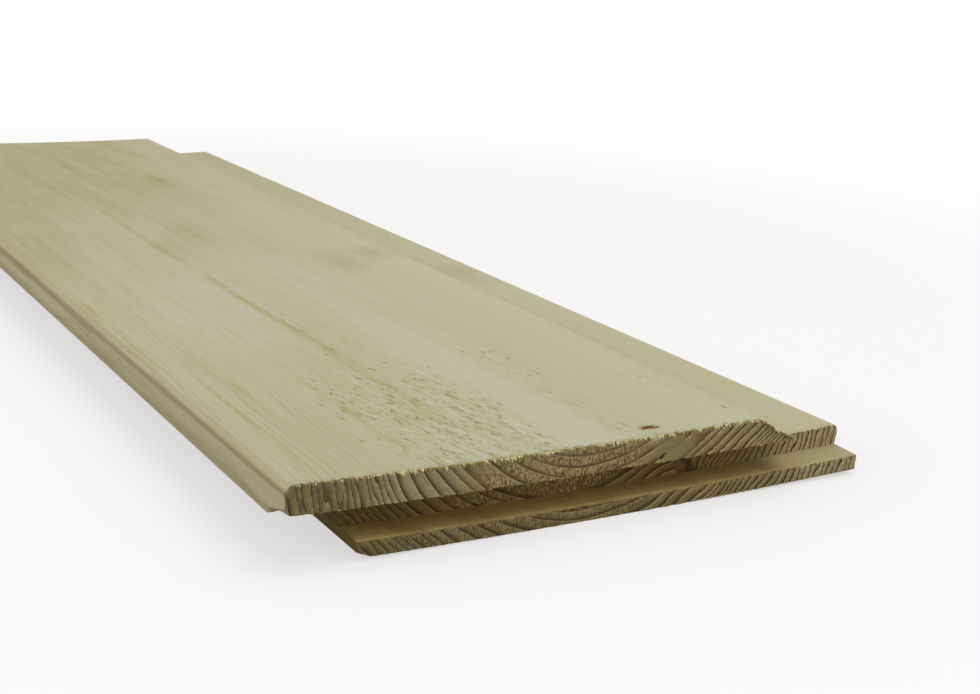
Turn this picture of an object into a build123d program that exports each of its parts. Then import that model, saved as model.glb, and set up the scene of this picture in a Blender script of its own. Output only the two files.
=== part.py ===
"""Half-lap cladding board with a scooped face edge and matched ends, planed from one length of softwood.

The face looks up and the back lies on the ground. X runs across the board, Y along it from the grooved end
to the tongued end, and Z up through its thickness. The origin is in the middle of the board, on its back.
"""
import os
from math import radians, tan

from build123d import *

# Driving dimensions, in millimetres and degrees
face_length = 455.0
board_width = 150.0
board_thickness = 18.0

# Long edges: the cover lap on the left lies over the seat lap on the right of the next board
cover_lap_width = 16.0
seat_lap_thickness = 8.8
lap_clearance = 0.3
lap_gap = 0.5

# Left edge: the eased arris of the face, and the bevel at the foot of the rebate
arris_width = 1.2
arris_height = 1.7
back_bevel_width = 3.3
back_bevel_height = 1.3

# Right edge: the hollow scoop from the face down to the seat lap, and the nose of that lap
scoop_width = 16.5
scoop_hollow = 0.5
nose_chamfer_width = 1.2
nose_chamfer_height = 1.4
nose_flank_height = 3.6
nose_undercut = 0.9

# Near end: a tapered groove between a face lip and a shorter back lip
groove_depth = 9.0
face_lip_thickness = 6.6
back_lip_thickness = 3.6
back_lip_setback = 1.0
groove_top_draft = 7.0
groove_bottom_draft = 2.0

# Far end: the tongue that fits such a groove
tongue_side_clearance = 0.2
tongue_tip_clearance = 0.6
tongue_tip_chamfer = 0.8

# Places worked out from the driving dimensions
left = -board_width / 2
right = board_width / 2
lap_underside = seat_lap_thickness + lap_clearance
seat_lap_width = cover_lap_width + lap_gap
tongue_length = groove_depth - tongue_tip_clearance
near_end = -(face_length + tongue_length) / 2
shoulder = near_end + face_length
far_tip = shoulder + tongue_length


def groove_top(depth):
    """Height of the groove's upper wall, this far in from the end of the face lip."""
    return board_thickness - face_lip_thickness - depth * tan(radians(groove_top_draft))


def groove_bottom(depth):
    """Height of the groove's lower wall, this far in from the end of the face lip."""
    return back_lip_thickness + (depth - back_lip_setback) * tan(radians(groove_bottom_draft))


def cross_section():
    """Outline across the board: cover lap on the left, scoop and seat lap on the right."""
    rebate_wall = left + cover_lap_width
    scoop_foot = (right - seat_lap_width, seat_lap_thickness)
    scoop_top = (right - seat_lap_width - scoop_width, board_thickness)
    nose_top = seat_lap_thickness - nose_chamfer_height
    scoop = SagittaArc(scoop_top, scoop_foot, -scoop_hollow)
    edges = Polyline(
        scoop_foot,
        (right - nose_chamfer_width, seat_lap_thickness),
        (right, nose_top),
        (right - nose_undercut, nose_top - nose_flank_height),
        (right - nose_undercut, 0),
        (rebate_wall + back_bevel_width, 0),
        (rebate_wall, back_bevel_height),
        (rebate_wall, lap_underside),
        (left, lap_underside),
        (left, board_thickness - arris_height),
        (left + arris_width, board_thickness),
        scoop_top,
    )
    return make_face([scoop, edges])


def end_profile():
    """Outline along the board: the groove at the near end and the tongue at the far end."""
    outline = Polyline(
        (near_end, board_thickness),
        (shoulder, board_thickness),
        (shoulder, groove_top(0) - tongue_side_clearance),
        (far_tip, groove_top(tongue_length) - tongue_side_clearance),
        (far_tip, groove_bottom(tongue_length) + tongue_side_clearance),
        (shoulder, groove_bottom(0) + tongue_side_clearance),
        (shoulder, 0),
        (near_end + back_lip_setback, 0),
        (near_end + back_lip_setback, groove_bottom(back_lip_setback)),
        (near_end + groove_depth, groove_bottom(groove_depth)),
        (near_end + groove_depth, groove_top(groove_depth)),
        (near_end, groove_top(0)),
        close=True,
    )
    profile = make_face(outline)
    tip_corners = profile.vertices().group_by(Axis.X)[-1]
    return chamfer(tip_corners, tongue_tip_chamfer)


def cladding_board():
    """The moulded length of timber with both ends matched, as one solid."""
    moulding = extrude(Plane.XZ.offset(-far_tip) * cross_section(), face_length + tongue_length)
    matched_ends = extrude(Plane.YZ * end_profile(), board_width, both=True)
    return moulding & matched_ends


os.makedirs("parts", exist_ok=True)
export_step(cladding_board(), "parts/cladding_board.step")
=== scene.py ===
import math

import bpy
import bmesh
import numpy as np
from mathutils import Matrix, Vector, noise


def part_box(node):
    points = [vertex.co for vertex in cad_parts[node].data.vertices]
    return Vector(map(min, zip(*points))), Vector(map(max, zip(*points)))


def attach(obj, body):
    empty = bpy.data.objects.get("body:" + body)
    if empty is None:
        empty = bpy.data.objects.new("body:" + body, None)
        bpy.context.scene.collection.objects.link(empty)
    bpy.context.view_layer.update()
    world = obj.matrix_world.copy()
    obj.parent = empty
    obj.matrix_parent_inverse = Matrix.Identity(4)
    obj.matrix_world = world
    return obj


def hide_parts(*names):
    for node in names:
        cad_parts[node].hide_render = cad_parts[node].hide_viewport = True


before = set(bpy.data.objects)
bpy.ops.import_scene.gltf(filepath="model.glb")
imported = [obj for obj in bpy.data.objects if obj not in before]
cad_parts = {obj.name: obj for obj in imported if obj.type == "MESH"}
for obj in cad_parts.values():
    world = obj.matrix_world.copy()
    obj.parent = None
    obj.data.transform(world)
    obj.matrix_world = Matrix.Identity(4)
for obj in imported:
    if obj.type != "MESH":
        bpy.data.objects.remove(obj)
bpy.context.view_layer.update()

# Section sizes in millimetres, as in the part
half_width = 75.0
board_thickness = 18.0
rebate_wall_x = -59.0
lap_underside = 9.1
arris_x = -73.8
arris_foot = 16.3
bevel_end_x = -55.7
bevel_height = 1.3
scoop_top_x = 42.0
scoop_foot_x = 58.5
scoop_sag = 0.57
seat_top = 8.8
nose_top_x = 73.8
nose_tip_height = 7.4
flank_foot_x = 74.1

# Drying and damage of this one board, in millimetres
cup_height = 1.12
broken_corner_x = -73.8
broken_corner_height = 1.5
deepest_tear = 0.8

# Places along the board, in millimetres from its near end
back_lip_y = 1.0
groove_wall_y = 9.0
shoulder_y = 455.0
chamfer_y = 462.6
tongue_tip_y = 463.4

# Heights of the groove's and the tongue's upper and lower faces at those places
upper_places = [0.0, groove_wall_y, shoulder_y, chamfer_y, tongue_tip_y]
upper_heights = [11.4, 10.295, 11.2, 10.27, 9.37]
lower_places = [back_lip_y, groove_wall_y, shoulder_y, chamfer_y, tongue_tip_y]
lower_heights = [3.6, 3.88, 3.77, 4.03, 4.86]

millimetres = 1000.0
near_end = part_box("cladding_board")[0].y * millimetres

# Nearer than this, a point lies on a face
touch = 1e-3

# Growth rings: pith place and the ring radii read off the end grain, in millimetres
pith_x = -4.0
pith_z = 45.0
inner_rings = [
    17.5, 20.0, 22.3, 24.7, 27.1, 29.5, 31.9, 34.4, 37.5, 42.4, 44.3, 47.2, 49.7, 52.4, 55.2,
    56.9, 58.0, 59.5, 60.6, 61.7, 63.1,
]
outer_ring_spacing = 1.5
outermost_ring = 102.0
outer_rings = np.arange(inner_rings[-1] + outer_ring_spacing, outermost_ring, outer_ring_spacing)
ring_radii = np.concatenate([inner_rings, outer_rings])

# Branch through the near end: its place on the face and its lean for each millimetre down
branch_top_x = 15.0
branch_top_y = 5.6
branch_lean_y = 0.26

# Marks of the face: strength, place across, place along, half width and half length
olive_smudges = [
    (1.1, 20.0, 183.0, 7.0, 7.0),
    (1.2, 33.0, 193.0, 8.0, 3.0),
    (1.2, 67.0, 185.0, 7.0, 6.0),
    (0.5, 12.0, 345.0, 5.0, 9.0),
    (0.6, -12.0, 238.0, 5.0, 16.0),
    (0.5, -25.0, 217.0, 5.0, 14.0),
    (0.5, -68.0, 215.0, 8.0, 30.0),
]
short_streaks = [
    (1.0, -43.5, 50.0, 0.8, 34.0),
    (0.8, -38.0, 62.0, 1.0, 24.0),
    (0.8, -60.5, 60.0, 0.8, 40.0),
    (0.8, -67.0, 45.0, 0.8, 50.0),
    (1.2, -72.6, 150.0, 0.9, 75.0),
]


def ramp(value, low, high):
    """Smooth rise from 0 at low to 1 at high."""
    t = np.clip((value - low) / (high - low), 0.0, 1.0)
    return t * t * (3.0 - 2.0 * t)


def fade(value, low, high):
    """Smooth fall from 1 at low to 0 at high."""
    return 1.0 - ramp(value, low, high)


def window(value, rise, fall):
    """Smooth rise over one range and fall over a later one."""
    return ramp(value, *rise) * fade(value, *fall)


def spot(u, v, u0, v0, u_size, v_size):
    """Soft round mark of height 1."""
    return np.exp(-((u - u0) / u_size) ** 2 - ((v - v0) / v_size) ** 2)


def spots(u, v, places):
    """Several soft marks, each with its strength first."""
    return sum(strength * spot(u, v, *place) for strength, *place in places)


def stripe(u, u0, u_size):
    """Soft straight mark of height 1."""
    return np.exp(-((u - u0) / u_size) ** 2)


def noise_at(x, y, z, size, seed):
    """Smooth noise from -1 to 1 with features of the given size."""
    scale = 1.0 / size
    shift = 37.0 * seed
    points = zip(x * scale + shift, y * scale, z * scale - shift)
    return np.array([noise.noise(Vector(p)) for p in points])


# Section heights


def top_height(x):
    """Face, arris, scoop, seat lap and nose."""
    t = np.clip((x - scoop_top_x) / (scoop_foot_x - scoop_top_x), 0.0, 1.0)
    scoop = board_thickness - (board_thickness - seat_top) * t - 4.0 * scoop_sag * t * (1.0 - t)
    arris = np.interp(x, [-half_width, arris_x], [arris_foot, board_thickness])
    nose = np.interp(x, [nose_top_x, half_width], [seat_top, nose_tip_height])
    return np.where(x < arris_x, arris, np.where(x > nose_top_x, nose, scoop))


def back_height(x):
    """Back with its bevel at the foot of the rebate."""
    return np.interp(x, [rebate_wall_x, bevel_end_x], [bevel_height, 0.0])


def upper_split(y):
    """Underside of the upper lip, then the top of the tongue."""
    return np.interp(y, upper_places, upper_heights)


def lower_split(y):
    """Top of the lower lip, then the underside of the tongue."""
    return np.interp(y, lower_places, lower_heights)


def lip_underside(x, y):
    """Underside of the upper lip, with the broken corner at its left end."""
    broken = np.interp(x, [-half_width, broken_corner_x], [broken_corner_height, 0.0])
    return upper_split(y) + broken * np.clip(1.0 - y / groove_wall_y, 0.0, 1.0)


def scoop_place(height):
    """Where the scoop has a height."""
    x = np.linspace(scoop_top_x, scoop_foot_x, 400)
    return np.interp(-height, -top_height(x), x)


# Growth rings


def branch_nearness(x, y, z):
    """Nearness to the small branch that runs down through the near end."""
    depth = board_thickness - z
    return spot(x, y, branch_top_x + depth, branch_top_y + branch_lean_y * depth, 5.0, 6.0)


def ring_number(x, y, z):
    """Number of the growth ring at a point, with the fraction of the way to the next."""
    upper = np.maximum(z, 9.0) - 14.5
    lower = np.minimum(z, 9.0) - 9.0
    lean = 0.55 * ramp(x, 12.0, 24.0) * upper - 0.3 * ramp(x, 40.0, 56.0) * lower
    upright = 0.55 * ramp(-x, 40.0, 62.0) * upper
    radius = np.hypot(x - lean - pith_x, pith_z - z + upright)
    radius += 0.35 * np.sin(y / 61.0) + 0.2 * np.sin(y / 23.0 + x / 19.0)
    radius += 0.12 * np.sin(x / 3.1 + z / 1.7)
    ripple = 0.2 * np.sin(x / 1.3) + 0.22 * np.sin(x / 0.6 + z / 4.0)
    radius += ripple * ramp(abs(x), 50.0, 60.0)
    wave = 0.3 * np.sin(y / 9.0 + x / 5.0) + 0.4 * noise_at(x, y / 12.0, z / 5.0, 1.5, 9)
    radius += wave * ramp(-x, 46.0, 58.0)
    radius -= 2.6 * branch_nearness(x, y, z)
    return np.interp(radius, ring_radii, np.arange(len(ring_radii)))


# Board mesh: columns across, stations along, three layers in height

near_stations = [0.0, back_lip_y, 2.0, 3.0, 4.2, 5.6, 7.2]
body_stations = 40
far_stations = [457.5, 460.0, chamfer_y, tongue_tip_y]
cells_across = [3, 40, 9, 260, 32, 12, 40, 1, 3]
upper_steps = np.linspace(0.0, 1.0, 21)
lap_steps = np.linspace(0.0, 1.0, 5)
wall_steps = np.linspace(0.0, 1.0, 14)
lower_steps = np.linspace(0.0, 1.0, 11)

# Material numbers of the board and of the fibres
planed, sawn, recessed = 0, 1, 2
pale, brown = 0, 1


def station_list():
    """Places along the board, closer together towards the near end."""
    spread = np.linspace(0.0, 1.0, body_stations) ** 1.7
    body = groove_wall_y + (shoulder_y - groove_wall_y) * spread
    return np.concatenate([near_stations, body, far_stations])


def column_grid(stations):
    """Places across at each station, and the column numbers of the section's corners."""
    marks = np.concatenate([[0], np.cumsum(cells_across)])
    steps = np.arange(marks[-1] + 1)
    rows = []
    for y in stations:
        tip = scoop_place(upper_split(y))
        places = [-half_width, arris_x, rebate_wall_x, bevel_end_x, scoop_top_x, tip,
                  scoop_foot_x, nose_top_x, flank_foot_x, half_width]
        rows.append(np.interp(steps, marks, places))
    return np.array(rows), marks


class Layers:
    """Grid of the board, and the quads laid on it, each with a material number."""

    def __init__(self):
        self.stations = station_list()
        self.columns, marks = column_grid(self.stations)
        self.rebate, self.tip, self.flank, self.last = marks[2], marks[5], marks[8], marks[9]
        self.lip = near_stations.index(back_lip_y)
        self.wall = len(near_stations)
        self.shoulder = self.wall + body_stations - 1
        self.end = len(self.stations) - 1
        self.y = self.stations[:, None]
        self.high = upper_split(self.y)
        self.low = lower_split(self.y)
        self.top = top_height(self.columns)
        self.back = back_height(self.columns)
        self.underside = lip_underside(self.columns, self.y)
        self.points = []
        self.faces = []
        self.finish = []
        self.count = 0

    def add(self, x, y, z, finish):
        x, y, z = np.broadcast_arrays(x, y, z)
        index = self.count + np.arange(x.size).reshape(x.shape)
        quads = np.stack([index[:-1, :-1], index[1:, :-1], index[1:, 1:], index[:-1, 1:]], axis=-1)
        self.points.append(np.stack([x, y, z], axis=-1).reshape(-1, 3))
        self.faces.append(quads.reshape(-1, 4))
        self.finish.append(np.full(quads.size // 4, finish))
        self.count += x.size

    def sheet(self, rows, cols, height, finish=planed):
        """Face that lies between two stations and two columns."""
        grid = (slice(rows[0], rows[1] + 1), slice(cols[0], cols[1] + 1))
        height = np.broadcast_to(height, self.columns.shape)
        self.add(self.columns[grid], self.y[grid[0]], height[grid], finish)

    def side(self, rows, column, bottom, upper, steps, finish=planed):
        """Upright face that follows one column."""
        grid = slice(rows[0], rows[1] + 1)
        bottom = np.broadcast_to(bottom, self.y.shape)[grid]
        upper = np.broadcast_to(upper, self.y.shape)[grid]
        x = self.columns[grid, column:column + 1]
        self.add(x, self.y[grid], bottom + (upper - bottom) * steps, finish)

    def cap(self, row, cols, bottom, upper, steps):
        """Sawn face across the board at one station."""
        grid = slice(cols[0], cols[1] + 1)
        x = self.columns[row, grid][:, None]
        bottom = np.broadcast_to(bottom, self.columns[row].shape)[grid][:, None]
        upper = np.broadcast_to(upper, self.columns[row].shape)[grid][:, None]
        self.add(x, self.stations[row], bottom + (upper - bottom) * steps, sawn)


def upper_layer(b):
    """Face, scoop, left edge, lip underside and the layer's two ends."""
    b.sheet((0, b.shoulder), (0, b.tip), b.top)
    b.side((0, b.shoulder), 0, b.underside[:, :1], arris_foot, upper_steps)
    b.sheet((0, b.wall), (0, b.tip), b.underside, recessed)
    b.cap(0, (0, b.tip), b.underside[0], b.top[0], upper_steps)
    b.cap(b.shoulder, (0, b.tip), b.high[b.shoulder], b.top[b.shoulder], upper_steps)


def middle_layer(b):
    """Seat lap, cover lap underside, rebate wall, groove wall and tongue."""
    rows = (b.wall, b.end)
    b.sheet(rows, (b.tip, b.last), b.top)
    b.sheet(rows, (0, b.rebate), lap_underside, recessed)
    b.side(rows, 0, lap_underside, b.high, lap_steps)
    b.side(rows, b.rebate, b.low, lap_underside, wall_steps, recessed)
    flank_width = half_width - flank_foot_x
    flank_line = b.low + (nose_tip_height - b.low) * (b.columns - flank_foot_x) / flank_width
    b.sheet(rows, (b.flank, b.last), flank_line)
    b.sheet((b.shoulder, b.end), (0, b.tip), b.high)
    b.sheet((b.shoulder, b.end), (b.rebate, b.flank), b.low)
    for row in rows:
        over = np.minimum(b.top[row], b.high[row])
        under = np.where(b.columns[row] > flank_foot_x, flank_line[row], b.low[row])
        share = (lap_underside - b.low[row]) / (b.high[row] - b.low[row])
        middle = under + share * (over - under)
        b.cap(row, (0, b.rebate), lap_underside, over, lap_steps)
        b.cap(row, (b.rebate, b.last), under, middle, wall_steps)
        b.cap(row, (b.rebate, b.last), middle, over, lap_steps)


def lower_layer(b):
    """Ledge, back, both sides and the layer's two ends."""
    rows = (b.lip, b.shoulder)
    b.sheet((b.lip, b.wall), (b.rebate, b.flank), b.low, recessed)
    b.sheet(rows, (b.rebate, b.flank), b.back)
    b.side(rows, b.rebate, bevel_height, b.low, lower_steps, recessed)
    b.side(rows, b.flank, 0.0, b.low, lower_steps)
    for row in rows:
        b.cap(row, (b.rebate, b.flank), b.back[row], b.low[row], lower_steps)


def board_mesh():
    """One closed mesh of the three layers, still in millimetres."""
    layers = Layers()
    upper_layer(layers)
    middle_layer(layers)
    lower_layer(layers)
    mesh = bpy.data.meshes.new("cladding_board_detail")
    points = np.concatenate(layers.points)
    mesh.from_pydata(points.tolist(), [], np.concatenate(layers.faces).tolist())
    mesh.polygons.foreach_set("material_index", np.concatenate(layers.finish))
    work = bmesh.new()
    work.from_mesh(mesh)
    bmesh.ops.remove_doubles(work, verts=work.verts, dist=1e-4)
    bmesh.ops.dissolve_degenerate(work, edges=work.edges, dist=1e-5)
    bmesh.ops.recalc_face_normals(work, faces=work.faces)
    work.to_mesh(mesh)
    work.free()
    return mesh


def vertex_places(mesh):
    places = np.empty(len(mesh.vertices) * 3)
    mesh.vertices.foreach_get("co", places)
    return places.reshape(-1, 3)


def store(mesh, name, values):
    """Keep one mark on the mesh, for the materials."""
    layer = mesh.attributes.new(name, "FLOAT", "POINT")
    layer.data.foreach_set("value", values.astype(np.float32))


def link(name, data):
    """Object for a mesh, lamp or camera, in the scene."""
    item = bpy.data.objects.new(name, data)
    bpy.context.collection.objects.link(item)
    return item


# Marks and relief of the board


def fleck_mask(x, y):
    """Where the plane tore small flecks out of the face."""
    dense = window(x, (-54.0, -38.0), (-14.0, -6.0)) * fade(y, 40.0, 90.0)
    tail = 0.4 * stripe(x, -24.0, 8.0) * fade(y, 95.0, 140.0)
    group = 0.6 * stripe(x, 8.0, 4.0) * fade(y, 70.0, 115.0)
    faint = 0.3 * spot(x, y, 35.5, 33.0, 4.0, 18.0)
    return np.maximum(np.maximum(dense, tail), np.maximum(group, faint))


def edge_band(x, y, z):
    """Dark band under the arris and the brown foot of the left edge."""
    level = np.zeros_like(z)
    reach = 0.9 + 1.1 * ramp(y, 95.0, 160.0) + 0.8 * noise_at(x, y, level, 22.0, 3)
    softness = 0.5
    band_foot = arris_foot - reach
    upper = window(z, (band_foot - softness, band_foot), (arris_foot, arris_foot + softness))
    lower = 0.8 * fade(z + 0.7 * noise_at(x, y, level, 14.0, 4), 10.2, 12.2)
    return np.where(x < arris_x, np.maximum(upper, lower), 0.0)


def recess_depth(x, y, z):
    """How far a point lies inside the end groove or the rebate, the mask of the painted shade there."""
    inside = (y < groove_wall_y + touch) & (y > 0.3)
    inside &= (z > lower_split(y) - touch) & (z < lip_underside(x, y) + touch)
    rebate = (x < rebate_wall_x + touch) & (z < lap_underside + touch) & (x > -half_width + 0.5)
    fade_end = np.where(y > groove_wall_y - touch, 72.0, 82.0)
    inner = ramp(x, -half_width, rebate_wall_x) * fade(x, 38.0, fade_end)
    return np.maximum(np.where(inside, inner, 0.0), 0.9 * rebate)


def face_marks(x, y, z):
    """Marks of the planed faces, by name."""
    olive = spots(x, y, olive_smudges)
    olive += 0.95 * ramp(y, 110.0, 400.0) * (1.0 - 0.5 * ramp(x, -20.0, 60.0))
    streak_x = -28.0 + 1.1 * np.sin(y / 45.0) + 0.4 * np.sin(y / 13.0)
    long_streak = stripe(x, streak_x, 1.3) * window(y, (15.0, 60.0), (330.0, 420.0))
    return {
        "olive": olive,
        "streak": long_streak + spots(x, y, short_streaks),
        "pale": stripe(x, -1.5, 9.5) * (1.0 - 0.7 * ramp(y, 70.0, 160.0)),
        "torn": fleck_mask(x, y),
        "band": edge_band(x, y, z),
        "painted_recess_shade": recess_depth(x, y, z),
        "face_knot": spot(x, y, 14.1, 5.4, 3.0, 1.7) * (z > board_thickness - 0.1),
    }


def near_faces(y, z):
    """Which points lie on the lip's end, the groove's wall and the lower lip's end."""
    lip_end = y < touch
    wall = (abs(y - groove_wall_y) < touch) & (z < upper_split(groove_wall_y) + touch)
    wall &= z > lower_split(groove_wall_y) - touch
    lower_lip = (abs(y - back_lip_y) < touch) & (z < lower_split(back_lip_y) + touch)
    return lip_end, wall, lower_lip


def end_marks(x, y, z, lip_end, wall, lower_lip):
    """Marks of the near end's cut faces, by name."""
    fur = window(x, (-36.0, -26.0), (6.0, 13.0))
    lower_fur = 0.8 * window(x, (-58.0, -46.0), (6.0, 13.0))
    grime = (1.5 - 0.5 * ramp(x, -50.0, -36.0)) * fade(x, 45.0, 60.0)
    grime = grime * (1.0 - 0.9 * stripe(x, 29.0, 4.5))
    fringe = 0.15 + 0.6 * ramp(x, -58.0, -40.0) + 0.2 * ramp(x, 40.0, 44.0)
    hole = spot(x - 0.5 * (z - 12.6), z, 14.8, 12.6, 0.5, 0.8)
    branch_x = x - 0.75 * (5.5 - z) + 0.9 * noise_at(x, y, z, 1.4, 8)
    resin = spot(x, z, -21.0, 17.6, 0.4, 0.4) + spot(x, z, 28.4, 17.5, 0.3, 0.6)
    lower_resin = 0.6 * spot(x, z, -57.6, 2.6, 0.6, 0.6)
    edge_height = np.where(lower_lip, lower_split(back_lip_y), top_height(x))
    return {
        "fur": np.where(lower_lip, lower_fur, fur),
        "swirl": ramp(spot(x, z, 18.0, 14.2, 6.6, 3.6), 0.3, 0.75) * lip_end,
        "hole": ramp(hole, 0.3, 0.6) * lip_end,
        "bright": spot(x, z, 12.6, 17.0, 1.5, 0.9) * lip_end,
        "branch": spot(branch_x, z, 28.0, 5.2, 2.6, 2.8) * wall,
        "branch_core": spot(branch_x, z, 27.0, 6.0, 1.8, 2.0) * wall,
        # Mask of the painted light on the cover lap's end in the groove
        "painted_lap_end_light": 1.0 * (wall & (x < rebate_wall_x - 0.1)),
        "grime": grime * lower_lip,
        "fringe": np.where(lip_end, fringe, 0.2),
        "resin": np.where(lip_end, resin, 0.0) + lower_resin * lower_lip,
        "below": edge_height - z,
    }


def rim_wear(x):
    """Uneven wear along a cut edge, from 0 to 1."""
    still = np.zeros_like(x)
    fine = noise_at(x, still, still, 0.9, 6)
    broad = noise_at(x, still, still, 2.8, 7)
    return np.clip(0.5 + 1.0 * fine + 0.7 * broad, 0.05, 1.0)


def grain_tear(x, y, z, ring, fur):
    """How far the end grain is torn back along the rings, in millimetres."""
    part = ring - np.floor(ring)
    step = 0.26 * (1.0 - 0.4 * fur) * window(part, (0.35, 0.97), (0.97, 1.0))
    rough = 0.08 * (1.0 + noise_at(x, y, z, 0.9, 1))
    torn = 0.17 * fur * fade(part, 0.6, 0.85) * (1.0 + noise_at(x, y, z, 0.7, 2))
    return step + rough + torn


def end_relief(x, y, z, marks, cut):
    """How far cut faces are torn back and their upper edges worn down, in millimetres."""
    wear = rim_wear(x)
    tear = grain_tear(x, y, z, marks["ring"], marks["fur"]) * (1.0 - 0.8 * marks["swirl"])
    tear += 0.6 * marks["hole"]
    tear += 0.7 * wear * np.exp(-marks["below"] / 0.42)
    ragged = np.where(cut & (marks["below"] < touch), 0.42 * wear, 0.0)
    return np.where(cut, np.minimum(tear, deepest_tear), 0.0), ragged


def detailed_board(materials):
    mesh = board_mesh()
    x, y, z = vertex_places(mesh).T
    lip_end, wall, lower_lip = near_faces(y, z)
    marks = {"ring": ring_number(x, y, z)}
    marks.update(face_marks(x, y, z))
    marks.update(end_marks(x, y, z, lip_end, wall, lower_lip))
    for name, values in marks.items():
        store(mesh, name, values)
    tear, ragged = end_relief(x, y, z, marks, lip_end | wall | lower_lip)
    cupped = z - ragged + cup_height * (x / half_width) ** 2
    moved = np.stack([x, y + tear + near_end, cupped], axis=-1) / millimetres
    mesh.vertices.foreach_set("co", moved.ravel())
    mesh.polygons.foreach_set("use_smooth", np.ones(len(mesh.polygons), dtype=bool))
    mesh.set_sharp_from_angle(angle=math.radians(32.0))
    for material in materials:
        mesh.materials.append(material)
    mesh.update()
    return link("cladding_board_detail", mesh)


# Torn fibres along the near edges and lifted slivers on the face


class Slivers:
    """Collects four-sided slivers, each side with a material number."""

    def __init__(self):
        self.points = []
        self.faces = []
        self.finish = []

    def add(self, corners, finishes):
        first = len(self.points)
        self.points.extend(list(c) for c in corners)
        for triple, finish in zip(((0, 1, 2), (0, 3, 1), (1, 3, 2), (2, 3, 0)), finishes):
            self.faces.append([first + i for i in triple])
            self.finish.append(finish)

    def build(self, name, materials):
        places = np.array(self.points)
        places[:, 2] += cup_height * (places[:, 0] / half_width) ** 2
        places[:, 1] += near_end
        mesh = bpy.data.meshes.new(name)
        mesh.from_pydata((places / millimetres).tolist(), [], self.faces)
        mesh.polygons.foreach_set("material_index", self.finish)
        for material in materials:
            mesh.materials.append(material)
        mesh.update()
        return link(name, mesh)


def edge_fibres(slivers, chance, count, x_range, height_of, y, length, droop, finish):
    """Short torn fibres that stand out from one cut edge."""
    for _ in range(count):
        x = chance.uniform(*x_range)
        width = chance.uniform(0.14, 0.38)
        reach = chance.uniform(0.35, 1.0) * length
        fall = chance.normal(droop, 0.5)
        lean = chance.normal(0.0, 0.3)
        root = np.array([x, y + 0.35, height_of(x) - 0.05])
        tip = root + reach * np.array([lean, -1.0, -fall]) / math.hypot(1.0, fall)
        tip[1] -= 0.2
        left = root + (-width, 0.0, 0.0)
        right = root + (width, 0.0, 0.0)
        slivers.add([left, right, root + (0.0, 0.0, -width), tip], [finish] * 4)


def face_slivers(slivers, chance, count):
    """Lifted slivers where the plane tore the face, pale on top as a painted highlight and brown in
    front, partly the torn wood's tone and partly painted shade.
    """
    placed = 0
    while placed < count:
        x = chance.uniform(-58.0, 42.0)
        y = chance.uniform(2.0, 135.0)
        if chance.uniform() > fleck_mask(x, y) ** 1.4:
            continue
        placed += 1
        turn = math.radians(chance.uniform(0.0, 26.0))
        half = 0.5 * chance.uniform(0.9, 3.8)
        width = chance.uniform(0.25, 0.5)
        lift = chance.uniform(0.06, 0.22)
        along = np.array([math.sin(turn), -math.cos(turn), 0.0])
        across = np.array([-math.cos(turn), -math.sin(turn), 0.0])
        middle = np.array([x, y, board_thickness - 0.01])
        front = middle + width * across + half * chance.uniform(-0.4, 0.4) * along
        corners = [middle - half * along, middle + half * along, front, front + (0.0, 0.0, lift)]
        # Pale fibre wood on the top as a painted highlight, brown torn wood on the fronts, partly painted
        # shade
        slivers.add(corners, [brown, pale, brown, brown])


def torn_fibres(materials):
    """Fibres of each near edge, then the slivers of the face."""
    chance = np.random.RandomState(7)
    slivers = Slivers()

    def face_edge(x):
        return board_thickness - 0.2

    def lip_lower_edge(x):
        return upper_split(0.0) + 0.1

    def ledge_edge(x):
        return lower_split(back_lip_y)

    def seat_edge(x):
        return seat_top

    # Count, range across, height, place along, length, droop and material number
    edges = [
        (26, (-74.0, -50.0), face_edge, 0.0, 0.7, 1.0, pale),
        (250, (-50.0, scoop_top_x), face_edge, 0.0, 1.15, 1.1, pale),
        (120, (scoop_top_x, 53.2), top_height, 0.0, 1.0, 0.8, pale),
        (130, (-73.0, 53.0), lip_lower_edge, 0.0, 0.4, 0.3, pale),
        (140, (-58.0, 74.0), ledge_edge, back_lip_y, 0.5, 0.3, brown),
        (60, (scoop_foot_x, 74.0), seat_edge, groove_wall_y, 0.5, 0.3, pale),
    ]
    for edge in edges:
        edge_fibres(slivers, chance, *edge)
    face_slivers(slivers, chance, 170)
    return slivers.build("torn_fibres", materials)


# Materials


def srgb(red, green, blue):
    """Linear colour from the usual 0 to 255 values."""
    values = [v / 255.0 for v in (red, green, blue)]
    return [v / 12.92 if v <= 0.04045 else ((v + 0.055) / 1.055) ** 2.4 for v in values] + [1.0]


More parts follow.
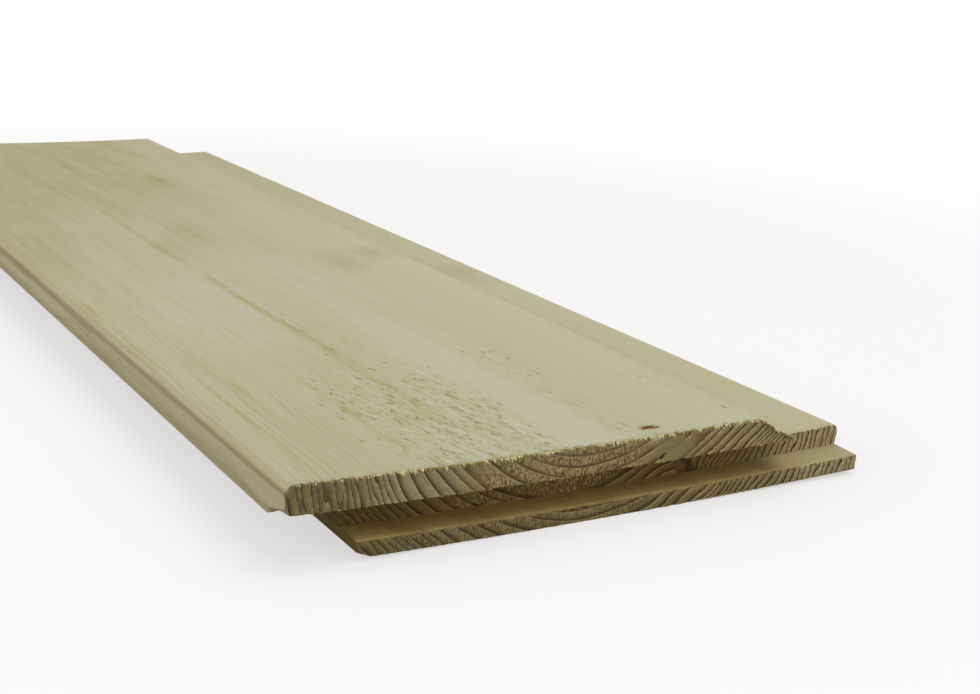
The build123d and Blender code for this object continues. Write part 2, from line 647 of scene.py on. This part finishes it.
class Nodes:
    """Adds shader nodes to one material, from values and sockets."""

    def __init__(self, name):
        self.material = bpy.data.materials.new(name)
        self.material.use_nodes = True
        self.tree = self.material.node_tree
        self.shader = self.tree.nodes["Principled BSDF"]

    def put(self, socket, value):
        if isinstance(value, bpy.types.NodeSocket):
            self.tree.links.new(value, socket)
        else:
            socket.default_value = value

    def add(self, kind, out=0, inputs=None, **settings):
        node = self.tree.nodes.new("ShaderNode" + kind)
        for name, value in settings.items():
            setattr(node, name, value)
        for key, value in (inputs or {}).items():
            self.put(node.inputs[key], value)
        return node.outputs[out]

    def times(self, a, b):
        return self.add("Math", inputs={0: a, 1: b}, operation="MULTIPLY")

    def plus(self, a, b):
        return self.add("Math", inputs={0: a, 1: b}, operation="ADD")

    def minus(self, a, b):
        return self.add("Math", inputs={0: a, 1: b}, operation="SUBTRACT")

    def fraction(self, a):
        return self.add("Math", inputs={0: a}, operation="FRACT")

    def larger(self, a, b):
        return self.add("Math", inputs={0: a, 1: b}, operation="MAXIMUM")

    def tint(self, colour, share, other):
        """Colour moved towards another by a share."""
        inputs = {0: share, 6: colour, 7: other}
        return self.add("Mix", out=2, inputs=inputs, data_type="RGBA")

    def attribute(self, name):
        return self.add("Attribute", out="Fac", attribute_name=name)

    def place(self, axis):
        """Place on the object along X, Y or Z, in metres."""
        return self.add("SeparateXYZ", out=axis, inputs={0: self.add("TexCoord", out="Object")})

    def facing(self, axis):
        """Surface direction's share along X, Y or Z."""
        return self.add("SeparateXYZ", out=axis, inputs={0: self.add("TexCoord", out="Normal")})

    def span(self, value, low, high, first=0.0, last=1.0):
        """Smooth change from first at low to last at high."""
        inputs = {0: value, 1: low, 2: high, 3: first, 4: last}
        return self.add("MapRange", inputs=inputs, interpolation_type="SMOOTHSTEP")

    def noise(self, size, detail=2.0, rough=0.5, warp=0.0, turn=0.0):
        """Noise with features of the given sizes in metres, turned about the vertical."""
        place = self.add("TexCoord", out="Object")
        inputs = {"Vector": place, "Rotation": (0.0, 0.0, turn), "Scale": size}
        place = self.add("Mapping", inputs=inputs, vector_type="TEXTURE")
        inputs = {"Vector": place, "Scale": 1.0, "Detail": detail, "Roughness": rough, "Distortion": warp}
        return self.add("TexNoise", inputs=inputs)

    def bump(self, height, distance, strength=1.0):
        return self.add("Bump", inputs={"Height": height, "Distance": distance, "Strength": strength})

    def finish(self, colour, roughness, normal, specular):
        self.put(self.shader.inputs["Base Color"], colour)
        self.put(self.shader.inputs["Roughness"], roughness)
        self.put(self.shader.inputs["Normal"], normal)
        self.put(self.shader.inputs["Specular IOR Level"], specular)
        return self.material


latewood_tone = srgb(150, 139, 92)


def face_ground(w, late, streak):
    """Pale planed wood, yellower towards the left and paler towards the right."""
    across = w.place("X")
    cloud = w.noise((0.035, 0.14, 0.035), 3.0, 0.55, 0.4)
    colour = w.tint(srgb(190, 185, 156), w.span(cloud, 0.35, 0.65), srgb(183, 178, 142))
    colour = w.tint(colour, w.times(w.span(streak, 0.45, 0.72), 0.16), srgb(174, 168, 126))
    mottle = w.noise((0.003, 0.018, 0.003), 3.0, 0.65, 0.3)
    yellow = w.times(w.span(mottle, 0.46, 0.68, 0.0, 0.3), w.span(across, 0.02, -0.01, 0.35, 1.0))
    colour = w.tint(colour, yellow, srgb(176, 167, 114))
    gaps = w.noise((0.004, 0.045, 0.004), 2.0)
    left_zone = w.times(w.span(across, -0.046, -0.058, 0.05, 0.38), w.span(gaps, 0.35, 0.65))
    colour = w.tint(colour, w.times(late, left_zone), latewood_tone)
    colour = w.tint(colour, w.span(across, 0.0, 0.04, 0.0, 0.6), srgb(199, 195, 166))
    return w.tint(colour, w.times(w.attribute("pale"), 0.55), srgb(203, 199, 176))


def face_stains(w, colour, late):
    """Tone of the scoop and the seat lap, olive smudges and resin streaks."""
    across = w.place("X")
    nearness = w.span(w.place("Y"), -0.2, -0.04, 1.0, 0.5)
    lap_tone = w.times(w.span(across, 0.032, 0.056, 0.0, 0.65), nearness)
    colour = w.tint(colour, lap_tone, srgb(188, 180, 140))
    blotch = w.noise((0.010, 0.08, 0.010), 3.0, 0.55, 0.25)
    smudge = w.times(w.attribute("olive"), w.span(blotch, 0.3, 0.7, 0.45, 0.85))
    colour = w.tint(colour, smudge, srgb(155, 146, 88))
    broken = w.noise((0.004, 0.035, 0.004), 2.0)
    resin = w.times(w.attribute("streak"), w.span(broken, 0.4, 0.64, 0.12, 0.75))
    colour = w.tint(colour, resin, srgb(164, 150, 84))
    lap_lines = w.times(late, w.span(across, 0.042, 0.048, 0.0, 0.09))
    return w.tint(colour, lap_lines, latewood_tone)


def torn_flecks(w, colour):
    """Painted highlights on lifted wood and pale flakes, then stains and chips where the plane tore the
    face.
    """
    torn = w.attribute("torn")
    smear = w.noise((0.0024, 0.014, 0.0024), 3.0, 0.65, 0.4, math.radians(8.0))
    chips = w.noise((0.0011, 0.0044, 0.0011), 2.0, 0.6, 0.5, math.radians(12.0))
    lifted_highlight = w.times(w.span(smear, 0.44, 0.34), torn)
    flake_highlight = w.times(w.span(chips, 0.43, 0.33), torn)
    stain = w.times(w.span(smear, 0.5, 0.66), torn)
    chip = w.times(w.span(chips, 0.56, 0.67), torn)
    # Painted highlights: pale tints on the lifted wood and the flakes
    colour = w.tint(colour, w.times(lifted_highlight, 0.4), srgb(203, 199, 172))
    colour = w.tint(colour, w.times(flake_highlight, 0.4), srgb(210, 206, 184))
    colour = w.tint(colour, w.times(stain, 0.5), srgb(174, 164, 92))
    colour = w.tint(colour, w.times(chip, 0.45), srgb(152, 142, 62))
    return colour, chip


def edge_and_recess(w, colour, late, streak):
    """Left edge with its dark band, and painted shade, browner and darker, inside the groove and the
    rebate.
    """
    side = w.span(w.facing("X"), -0.5, -0.95)
    colour = w.tint(colour, w.times(side, 0.5), srgb(192, 175, 138))
    colour = w.tint(colour, w.times(side, w.times(late, 0.18)), srgb(150, 135, 95))
    band = w.times(w.attribute("band"), w.span(streak, 0.3, 0.7, 0.5, 0.9))
    colour = w.tint(colour, band, srgb(146, 125, 80))
    # Painted shade: the wood is tinted browner where it lies inside the groove or the rebate
    painted_recess_shade = w.attribute("painted_recess_shade")
    colour = w.tint(colour, w.times(painted_recess_shade, 0.9), srgb(198, 173, 106))
    # Patchy painted shade, darker brown, inside the groove and the rebate
    patchy_recess_shade = w.span(w.noise((0.005, 0.012, 0.005), 3.0, 0.6, 0.3), 0.42, 0.68, 0.0, 0.4)
    colour = w.tint(colour, w.times(painted_recess_shade, patchy_recess_shade), srgb(150, 122, 66))
    ledge = w.span(w.attribute("below"), 3.0, 4.5)
    ledge_end = w.times(ledge, w.span(w.place("X"), 0.040, 0.060, 0.0, 0.6))
    colour = w.tint(colour, ledge_end, srgb(172, 160, 122))
    # Painted shade, dark brown, on the left-facing rebate wall under the cover lap
    foot = w.times(w.times(side, painted_recess_shade), w.span(streak, 0.35, 0.65, 0.8, 1.1))
    return w.tint(colour, foot, srgb(106, 87, 42))


def face_knot(w, colour):
    """Small brown knot in the face, with an uneven rim."""
    knot = w.attribute("face_knot")
    colour = w.tint(colour, w.span(knot, 0.1, 0.6, 0.0, 0.6), srgb(172, 152, 78))
    grit = w.noise((0.0024, 0.0012, 0.0024), 2.0, 0.6, 0.6)
    uneven = w.plus(knot, w.times(w.minus(grit, 0.5), 2.6))
    core = w.times(w.span(uneven, 0.5, 0.8), w.span(knot, 0.1, 0.4))
    return w.tint(colour, core, srgb(94, 66, 14)), core


def planed_wood(name, specular):
    """Wood of the planed faces."""
    w = Nodes(name)
    part = w.fraction(w.attribute("ring"))
    late = w.times(w.span(part, 0.5, 0.95), w.span(part, 0.96, 1.0, 1.0, 0.0))
    fibre = w.noise((0.0009, 0.03, 0.0009), 3.0, 0.6)
    streak = w.noise((0.003, 0.2, 0.003), 3.0, 0.55)
    colour = face_ground(w, late, streak)
    colour = face_stains(w, colour, late)
    colour, chip = torn_flecks(w, colour)
    colour = edge_and_recess(w, colour, late, streak)
    colour, core = face_knot(w, colour)
    colour = w.tint(colour, w.times(w.span(fibre, 0.3, 0.75), 0.09), srgb(148, 140, 98))
    relief = w.minus(fibre, w.times(chip, 2.0))
    roughness = w.larger(w.span(streak, 0.2, 0.8, 0.52, 0.66), w.larger(core, chip))
    return w.finish(colour, roughness, w.bump(relief, 0.00012, 0.6), specular)


def end_ground(w, across):
    """Sawn wood, greyer at the left, paler at the right, with painted shade, browner and darker, inside
    the groove.
    """
    patch = w.noise((0.011, 0.011, 0.011), 2.0)
    colour = w.tint(srgb(194, 174, 122), w.span(patch, 0.35, 0.65), srgb(178, 155, 102))
    greyer = w.times(w.span(across, -0.060, -0.052), w.span(across, -0.040, -0.033, 1.0, 0.0))
    greyer = w.times(greyer, w.span(w.attribute("grime"), 0.0, 1.0, 0.75, 0.3))
    colour = w.tint(colour, greyer, srgb(206, 192, 152))
    colour = w.tint(colour, w.span(across, 0.03, 0.060, 0.0, 0.7), srgb(216, 199, 153))
    # Painted shade: browner inside the groove, darker still towards the left
    painted_recess_shade = w.attribute("painted_recess_shade")
    colour = w.tint(colour, w.times(painted_recess_shade, 0.75), srgb(156, 126, 66))
    darker_left_recess_shade = w.times(painted_recess_shade, w.span(across, -0.03, -0.05, 0.0, 0.5))
    return w.tint(colour, darker_left_recess_shade, srgb(118, 86, 36))


def end_rings(w, colour, across, part, fur, speck):
    """Growth rings with their dark lines, painted shade across each ring and painted highlights on their
    crests, and the furry wood between them.
    """
    along_ring = w.times(w.attribute("ring"), 2.2)
    down = w.times(w.attribute("below"), 0.22)
    vector = w.add("CombineXYZ", inputs={0: along_ring, 1: down})
    streak = w.add("TexNoise", inputs={"Vector": vector, "Scale": 1.0, "Detail": 3.0, "Roughness": 0.6})
    drop = w.span(part, 0.975, 1.0, 1.0, 0.0)
    colour = w.tint(colour, w.span(streak, 0.5, 0.72, 0.0, 0.45), srgb(122, 104, 64))
    # Darker across each ring towards its latewood: partly the latewood's own tone, partly painted shade
    # of the torn-back ring step
    latewood_and_step_shade = w.times(w.span(part, 0.25, 0.9), drop)
    latewood_and_step_shade = w.times(latewood_and_step_shade, w.span(w.attribute("fur"), 0.0, 1.0, 0.46, 0.1))
    colour = w.tint(colour, latewood_and_step_shade, srgb(96, 76, 40))
    colour = w.tint(colour, w.times(fur, w.span(speck, 0.5, 0.64, 0.0, 0.75)), srgb(224, 206, 146))
    colour = w.tint(colour, w.times(fur, w.span(speck, 0.48, 0.36, 0.0, 0.8)), srgb(88, 70, 38))
    # Painted highlight along the crest at the start of each ring, stronger towards the right
    painted_crest_highlight = w.times(w.span(part, 0.14, 0.02), w.span(across, 0.005, 0.02, 0.45, 0.8))
    colour = w.tint(colour, painted_crest_highlight, srgb(226, 210, 160))
    line = w.times(w.span(part, 0.62, 0.96), drop)
    colour = w.tint(colour, w.times(line, w.span(streak, 0.3, 0.6, 0.4, 0.98)), srgb(74, 54, 26))
    bold = w.times(w.times(w.span(part, 0.45, 0.9, 0.0, 0.46), drop), w.attribute("grime"))
    bold = w.times(bold, w.span(across, -0.048, -0.03, 0.35, 1.0))
    return w.tint(colour, bold, srgb(66, 48, 24))


def end_wear(w, colour, across, scuff, grain):
    """Grey scuffs and soot at the left, and fine grain all over."""
    left = w.span(across, -0.055, -0.064)
    worn = w.times(left, w.span(scuff, 0.36, 0.6, 0.35, 1.0))
    worn = w.times(worn, w.span(w.attribute("below"), 6.6, 0.5, 0.6, 1.0))
    colour = w.tint(colour, w.times(worn, 0.72), srgb(117, 107, 82))
    soot = w.noise((0.0016, 0.004, 0.007), 3.0, 0.65, 0.3)
    colour = w.tint(colour, w.times(left, w.span(soot, 0.5, 0.66, 0.0, 0.6)), srgb(70, 60, 38))
    return w.tint(colour, w.span(grain, 0.42, 0.75, 0.0, 0.25), srgb(126, 110, 72))


def end_spots(w, colour, scuff):
    """Smooth wood round the branch, its hole with painted shade and its cut, painted light on the lap's
    end, and the grime.
    """
    colour = w.tint(colour, w.times(w.attribute("swirl"), 0.85), srgb(172, 155, 105))
    # Painted light: the cover lap's end, shaded under the lip, is tinted pale
    colour = w.tint(colour, w.times(w.attribute("painted_lap_end_light"), 0.9), srgb(228, 214, 172))
    # Painted shade: the small knot hole is tinted near black over its shallow dent
    colour = w.tint(colour, w.attribute("hole"), srgb(42, 30, 14))
    colour = w.tint(colour, w.times(w.attribute("grime"), 0.32), srgb(84, 66, 34))
    branch = w.times(w.attribute("branch"), w.span(scuff, 0.3, 0.7, 0.75, 1.25))
    colour = w.tint(colour, w.span(branch, 0.15, 0.5, 0.0, 0.85), srgb(82, 58, 28))
    core = w.span(w.attribute("branch_core"), 0.2, 0.8, 0.0, 0.75)
    return w.tint(colour, core, srgb(158, 130, 84))


def end_fringe(w, colour, speck):
    """Torn fringe under the upper edges, the bright tuft and the resin drops."""
    below = w.attribute("below")
    fringe = w.attribute("fringe")
    tuft = w.noise((0.0013, 0.004, 0.004), 3.0, 0.7)
    edge = w.plus(below, w.times(w.minus(tuft, 0.5), 5.0))
    colour = w.tint(colour, w.times(w.span(edge, 0.95, 0.3), fringe), srgb(202, 190, 128))
    gap = w.times(w.span(tuft, 0.54, 0.66, 0.0, 0.7), w.span(below, 1.4, 0.3))
    colour = w.tint(colour, w.times(gap, fringe), srgb(96, 78, 36))
    bright = w.times(w.attribute("bright"), w.span(speck, 0.36, 0.56))
    colour = w.tint(colour, bright, srgb(234, 222, 182))
    return w.tint(colour, w.times(w.attribute("resin"), 0.8), srgb(168, 108, 62))


def sawn_end_grain():
    """Wood of the sawn ends."""
    w = Nodes("softwood_end_grain")
    across = w.place("X")
    part = w.fraction(w.attribute("ring"))
    fur = w.times(w.attribute("fur"), w.span(part, 0.7, 0.9, 1.0, 0.0))
    grain = w.noise((0.0005, 0.002, 0.0007), 2.0, 0.7)
    speck = w.noise((0.00034, 0.002, 0.0008), 1.0, 0.5)
    scuff = w.noise((0.0012, 0.004, 0.005), 3.0, 0.6, 0.4)
    colour = end_ground(w, across)
    colour = end_rings(w, colour, across, part, fur, speck)
    colour = end_wear(w, colour, across, scuff, grain)
    colour = end_spots(w, colour, scuff)
    colour = end_fringe(w, colour, speck)
    relief = w.plus(grain, w.times(fur, speck))
    return w.finish(colour, 0.72, w.bump(relief, 0.00025, 0.6), specular=0.2)


def fibre_wood(name, colour, other):
    """Wood of loose fibres, in patches of two tones."""
    w = Nodes(name)
    grain = w.noise((0.0008, 0.003, 0.0008), 2.0)
    patch = w.noise((0.0016, 0.02, 0.0016), 2.0)
    mixed = w.tint(colour, w.span(patch, 0.42, 0.58), other)
    return w.finish(mixed, 0.7, w.bump(grain, 0.00005, 0.4), specular=0.08)


def floor_paint():
    """White to the camera with the object's shadow, a dim grey to the wood."""
    w = Nodes("floor_paint")
    path = w.tree.nodes.new("ShaderNodeLightPath")
    seen = w.larger(path.outputs["Is Camera Ray"], path.outputs["Is Glossy Ray"])
    seen = w.larger(seen, path.outputs["Is Transmission Ray"])
    paint = w.tint(srgb(142, 136, 126), seen, srgb(250, 250, 249))
    matt = w.add("BsdfDiffuse", inputs={0: paint})
    white = w.add("Emission", inputs={0: (1.0, 1.0, 1.0, 1.0), 1: 1.0})
    centre = w.add("TexCoord", out="Object")
    distance = w.add("VectorMath", out="Value", inputs={0: centre}, operation="LENGTH")
    share = w.times(seen, w.span(distance, 0.22, 0.5, 0.6, 1.0))
    mixed = w.add("MixShader", inputs={0: share, 1: matt, 2: white})
    w.put(w.tree.nodes["Material Output"].inputs["Surface"], mixed)
    return w.material


# Stage, light and camera


def add_floor():
    """Flat floor just under the board, in metres."""
    reach = 4.0
    drop = 0.0001
    mesh = bpy.data.meshes.new("floor")
    corners = [(-reach, -reach, 0.0), (reach, -reach, 0.0), (reach, reach, 0.0), (-reach, reach, 0.0)]
    mesh.from_pydata(corners, [], [(0, 1, 2, 3)])
    mesh.materials.append(floor_paint())
    floor = link("floor", mesh)
    floor.location.z = -drop


def add_panel(name, place, width, height, watts):
    """Soft lamp that faces the board's middle."""
    lamp = bpy.data.lights.new(name, "AREA")
    lamp.shape = "RECTANGLE"
    lamp.size = width
    lamp.size_y = height
    lamp.energy = watts
    panel = link(name, lamp)
    panel.location = place
    panel.rotation_euler = (-Vector(place)).to_track_quat("-Z", "Y").to_euler()


def add_world(strength):
    """Even light of a given strength, seen as plain white."""
    world = bpy.data.worlds.new("studio")
    world.use_nodes = True
    tree = world.node_tree
    tree.nodes.clear()
    path = tree.nodes.new("ShaderNodeLightPath")
    seen = path.outputs["Is Camera Ray"]
    for kind in ("Is Glossy Ray", "Is Transmission Ray"):
        either = tree.nodes.new("ShaderNodeMath")
        either.operation = "MAXIMUM"
        tree.links.new(seen, either.inputs[0])
        tree.links.new(path.outputs[kind], either.inputs[1])
        seen = either.outputs[0]
    level = tree.nodes.new("ShaderNodeMapRange")
    tree.links.new(seen, level.inputs["Value"])
    level.inputs["To Min"].default_value = strength
    level.inputs["To Max"].default_value = 1.0
    sky = tree.nodes.new("ShaderNodeBackground")
    sky.inputs["Color"].default_value = (1.0, 1.0, 1.0, 1.0)
    tree.links.new(level.outputs[0], sky.inputs["Strength"])
    output = tree.nodes.new("ShaderNodeOutputWorld")
    tree.links.new(sky.outputs[0], output.inputs[0])
    bpy.context.scene.world = world


def add_camera():
    """Camera where the photograph was taken from, in millimetres and unit axes."""
    place = Vector((-181.85, -488.76, 124.99)) / millimetres
    right = Vector((0.867769, -0.494882, 0.045489))
    forward = Vector((0.487947, 0.831079, -0.266864))
    up = right.cross(forward)
    turn = Matrix((right, up, -forward)).transposed().to_4x4()
    camera = bpy.data.cameras.new("camera")
    camera.sensor_fit = "HORIZONTAL"
    camera.sensor_width = 36.0
    camera.lens = 56.29
    camera.clip_start = 0.01
    holder = link("camera", camera)
    holder.matrix_world = Matrix.Translation(place) @ turn
    bpy.context.scene.camera = holder


def main():
    bpy.context.scene.view_settings.view_transform = "Standard"
    open_faces = planed_wood("softwood_planed", specular=0.3)
    recessed_faces = planed_wood("softwood_recess", specular=0.03)
    board = detailed_board([open_faces, sawn_end_grain(), recessed_faces])
    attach(board, "root")
    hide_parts("cladding_board")
    pale_fibre = fibre_wood("softwood_fibre", srgb(225, 214, 164), srgb(142, 124, 68))
    brown_fibre = fibre_wood("softwood_torn", srgb(150, 134, 78), srgb(168, 155, 102))
    fibres = torn_fibres([pale_fibre, brown_fibre])
    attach(fibres, "root")
    add_floor()
    add_panel("overhead_panel", (0.45, -0.35, 1.5), width=1.4, height=1.4, watts=9.0)
    add_panel("left_panel", (-1.1, 0.0, 0.6), width=1.0, height=0.7, watts=5.0)
    add_world(strength=0.49)
    add_camera()


main()
